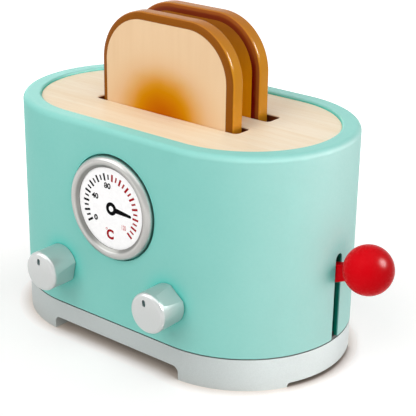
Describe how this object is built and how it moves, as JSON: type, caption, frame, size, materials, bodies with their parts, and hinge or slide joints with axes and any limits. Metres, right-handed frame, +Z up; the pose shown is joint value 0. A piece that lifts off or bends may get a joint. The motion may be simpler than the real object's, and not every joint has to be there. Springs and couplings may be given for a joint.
{
  "type": "toy toaster",
  "caption": "Toy pop-up toaster: oval painted body on a footed base, side lever lowering a sprung tray, lift-out slices, gauge face and turning knobs.",
  "frame": {"origin": "on the table under the middle of the whole toaster's box, lever ball, knobs and slices included", "axes": "+X along the body's length towards the lever, -Y out of the dial's side, +Z up"},
  "size_m": [0.2308, 0.1366, 0.1773],
  "materials": {
    "base_paint": "satin silver-grey paint",
    "body_paint": "satin turquoise paint",
    "beech": "clear matt lacquer",
    "silver_plastic": "silver coating",
    "dial_white": "printed white face",
    "dowel_wood": "plain",
    "washer_plastic": "plain",
    "steel": "plain",
    "spring_steel": "bright wire",
    "lever_red": "gloss red paint",
    "tray_plastic": "moulded",
    "toast_wood": "printed and painted slice"
  },
  "bodies": {
    "toaster": {"base": "base_paint", "body_shell": "body_paint", "top_panel": "beech", "dial_bezel": "silver_plastic", "dial_face": "dial_white", "guide_rod_left": "steel", "guide_rod_right": "steel", "return_spring_left": "spring_steel", "return_spring_right": "spring_steel", "stop_collar_left": "washer_plastic", "stop_collar_right": "washer_plastic", "pivot_pin": "steel", "pivot_cheek_front": "dowel_wood", "pivot_cheek_back": "dowel_wood", "base_screws": "steel", "cheek_screws": "steel"},
    "lever": {"lever_arm": "lever_red", "lever_ball": "lever_red", "drive_peg": "steel"},
    "tray": {"toast_tray": "tray_plastic"},
    "slice_front": {"toast_front": "toast_wood"},
    "slice_back": {"toast_back": "toast_wood"},
    "left_knob": {"knob_left": "silver_plastic", "knob_axle_left": "dowel_wood", "knob_washer_left": "washer_plastic"},
    "right_knob": {"knob_right": "silver_plastic", "knob_axle_right": "dowel_wood", "knob_washer_right": "washer_plastic"}
  },
  "joints": [
    {"name": "lever_press", "type": "hinge", "parent": "toaster", "child": "lever", "pos_m": [-0.09143, 0.01145, 0.0257], "axis": [0, 1, 0], "range_deg": [0, 8.6]},
    {"name": "tray_drop", "type": "slide", "parent": "toaster", "child": "tray", "axis": [0, 0, 1], "range_m": [-0.0167, 0], "stiffness_N_per_m": 300, "springref_m": 0.02, "deforming": ["return_spring_left", "return_spring_right"]},
    {"name": "front_slice_lift", "type": "slide", "parent": "tray", "child": "slice_front", "axis": [0, 0, 1], "range_m": [0, 0.075]},
    {"name": "back_slice_lift", "type": "slide", "parent": "tray", "child": "slice_back", "axis": [0, 0, 1], "range_m": [0, 0.075]},
    {"name": "left_knob_turn", "type": "hinge", "parent": "toaster", "child": "left_knob", "pos_m": [-0.05312, -0.05925, 0.0425], "axis": [0, 1, 0], "continuous": true},
    {"name": "right_knob_turn", "type": "hinge", "parent": "toaster", "child": "right_knob", "pos_m": [0.02307, -0.05925, 0.0425], "axis": [0, 1, 0], "continuous": true}
  ],
  "couplings": [
    {"joint": "tray_drop", "follows": "lever_press", "m_per_rad": -0.11103}
  ]
}
